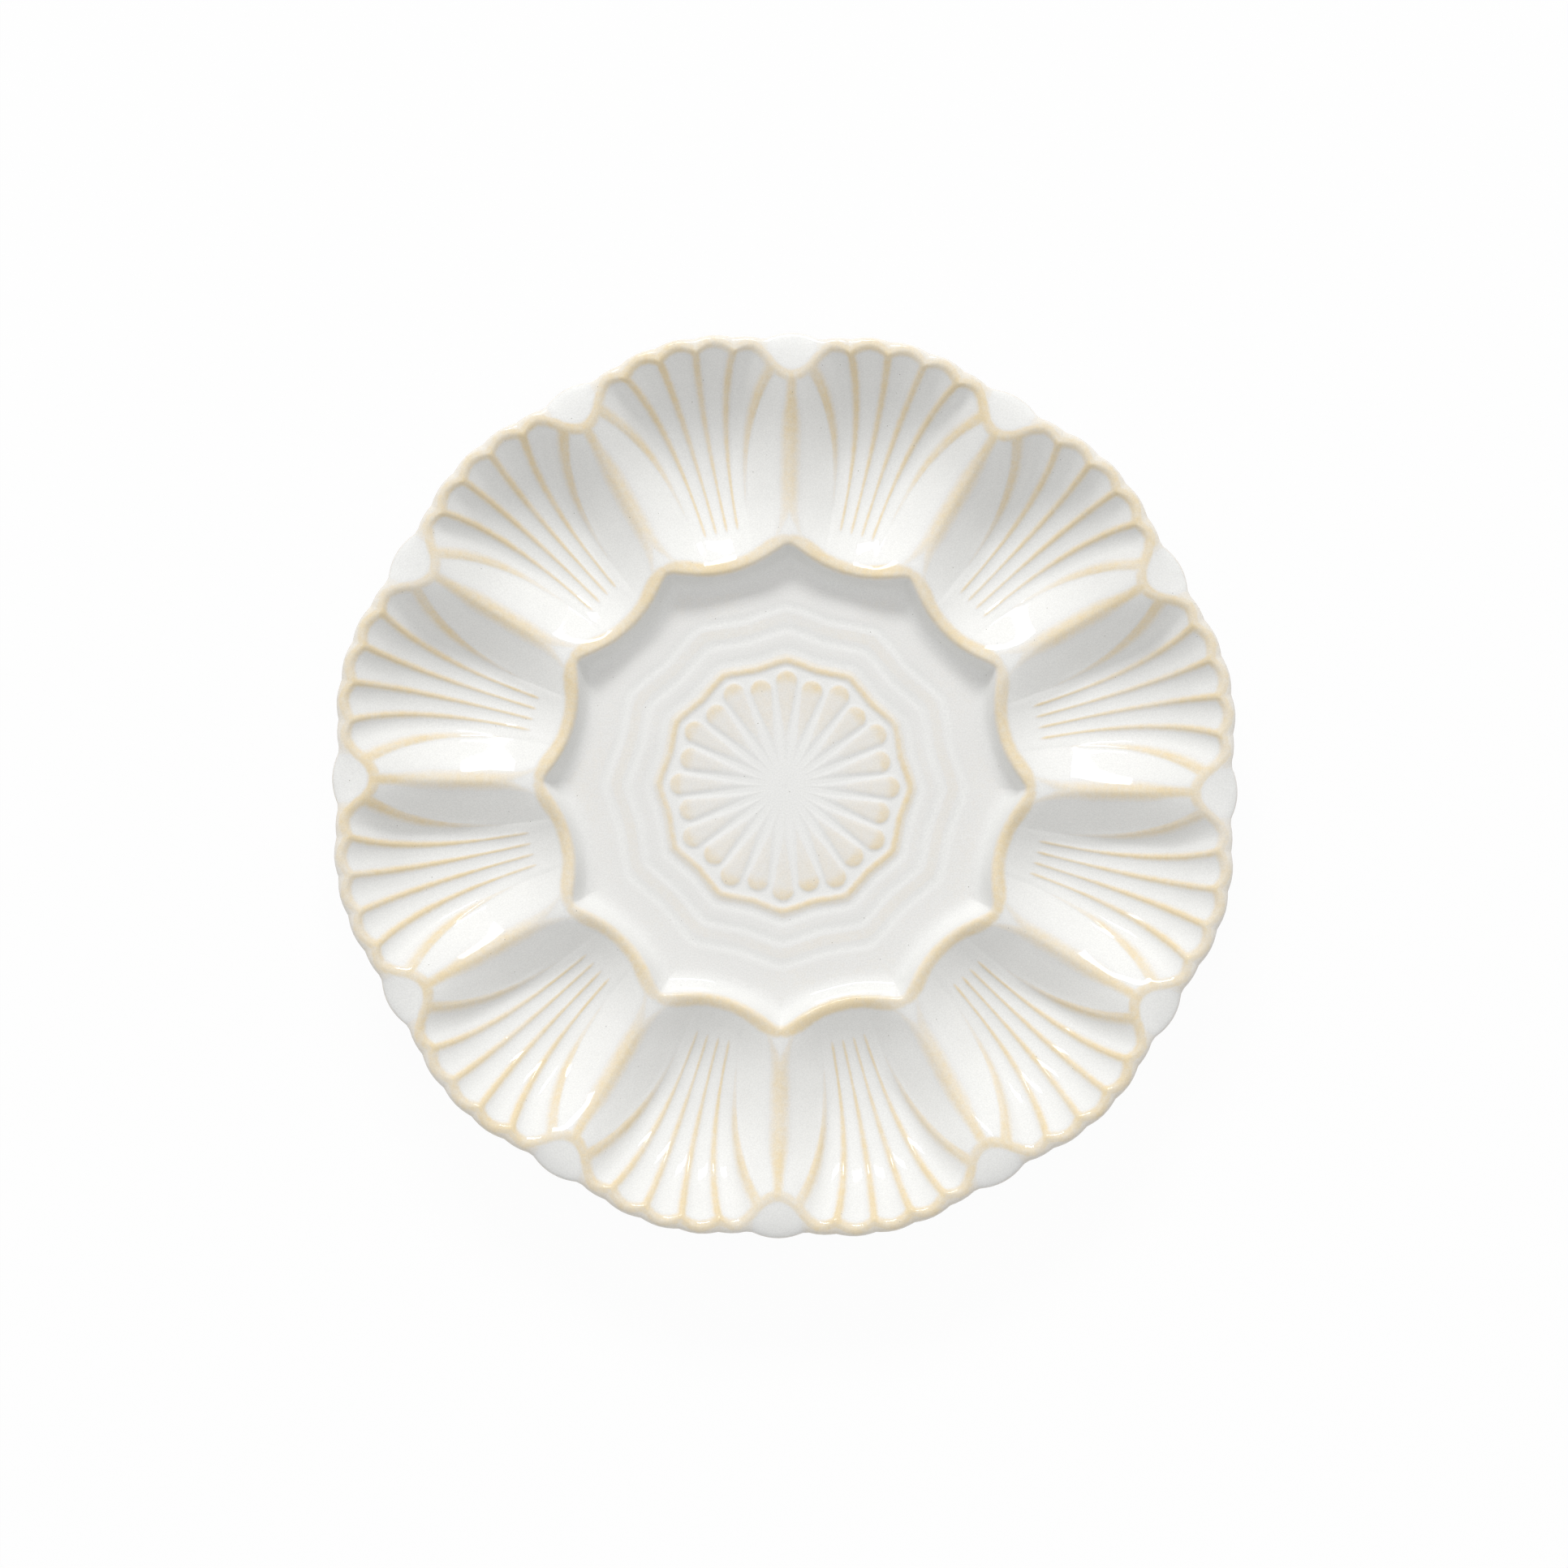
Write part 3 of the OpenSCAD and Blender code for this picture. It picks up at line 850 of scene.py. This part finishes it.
def make_surroundings():
    """Room that lights the plate from all round, and looks plain white to the eye."""
    world = bpy.data.worlds.new("studio")
    world.use_nodes = True
    tree = world.node_tree
    tree.nodes.clear()
    heading = add_node(tree, "ShaderNodeTexCoord").outputs["Generated"]
    up = add_node(tree, "ShaderNodeVectorMath", {0: heading, 1: (0, 0, 1)}, operation="DOT_PRODUCT")
    lobe = math_node(tree, "POWER", math_node(tree, "MAXIMUM", up.outputs["Value"], 0), LOBE_POWER)
    level = math_node(tree, "MULTIPLY_ADD", lobe, LOBE_LEVEL, ROOM_LEVEL)
    room = add_node(tree, "ShaderNodeBackground", {"Color": (*ROOM, 1), "Strength": level})
    white = add_node(tree, "ShaderNodeBackground", {"Color": (1, 1, 1, 1), "Strength": 1.0})
    both = add_node(tree, "ShaderNodeMixShader", {
        0: seen_directly(tree), 1: room.outputs[0], 2: white.outputs[0]})
    output = add_node(tree, "ShaderNodeOutputWorld")
    tree.links.new(both.outputs[0], output.inputs["Surface"])
    bpy.context.scene.world = world


def make_softbox(name, zenith, size, watts):
    """Area lamp that faces the plate from the angle zenith off the upright."""
    lamp = bpy.data.lights.new(name, "AREA")
    lamp.shape = "RECTANGLE"
    lamp.size, lamp.size_y = size
    lamp.energy = watts
    holder = bpy.data.objects.new(name, lamp)
    flat = LAMP_DISTANCE * math.sin(zenith)
    high = LAMP_DISTANCE * math.cos(zenith)
    holder.location = (-flat * math.sin(LAMP_TURN), flat * math.cos(LAMP_TURN), high)
    holder.rotation_euler = (-zenith, 0, LAMP_TURN)
    bpy.context.collection.objects.link(holder)
    return holder


def make_lamps():
    """The key lights the glaze without showing in it, and the sheen shows only as its highlights."""
    key = make_softbox("key", KEY_ZENITH, KEY_SIZE, KEY_WATTS)
    key.visible_glossy = False
    sheen = make_softbox("sheen", SHEEN_ZENITH, SHEEN_SIZE, SHEEN_WATTS)
    sheen.visible_diffuse = False


# Camera straight above the plate; the photograph is 1932 pixels wide
PHOTO_PX = 1932
PLATE_PX = 1130
PLATE_MIDDLE_PX = (967, 968)
PLATE_TURN = math.radians(0.95)
LENS = 150
SENSOR = 36


def make_camera():
    """Long lens whose frame is as wide at the platter's edge as the photograph is."""
    camera = bpy.data.cameras.new("camera")
    camera.lens = LENS
    camera.sensor_width = SENSOR
    frame_width = 2 * EDGE_R * MM * PHOTO_PX / PLATE_PX
    holder = bpy.data.objects.new("camera", camera)
    edge_z = (RIM_Z - RIM_FALL) * MM
    holder.location = (0, 0, edge_z + frame_width * LENS / SENSOR)
    holder.rotation_euler = (0, 0, PLATE_TURN)
    camera.shift_x = (PHOTO_PX / 2 - PLATE_MIDDLE_PX[0]) / PHOTO_PX
    camera.shift_y = (PLATE_MIDDLE_PX[1] - PHOTO_PX / 2) / PHOTO_PX
    bpy.context.collection.objects.link(holder)
    bpy.context.scene.camera = holder


def make_plate():
    """Glazed plate, in the place of the plain solid."""
    plate = bpy.data.objects.new("glazed_plate", plate_mesh())
    bpy.context.collection.objects.link(plate)
    plate.data.materials.append(glaze_material())
    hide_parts("platter_body")
    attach(plate, "root")


def dress_foot():
    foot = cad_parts["foot_ring"]
    foot.data.materials.clear()
    foot.data.materials.append(clay_material())


make_camera()
make_plate()
dress_foot()
make_floor()
make_surroundings()
make_lamps()
bpy.context.scene.view_settings.view_transform = "Standard"
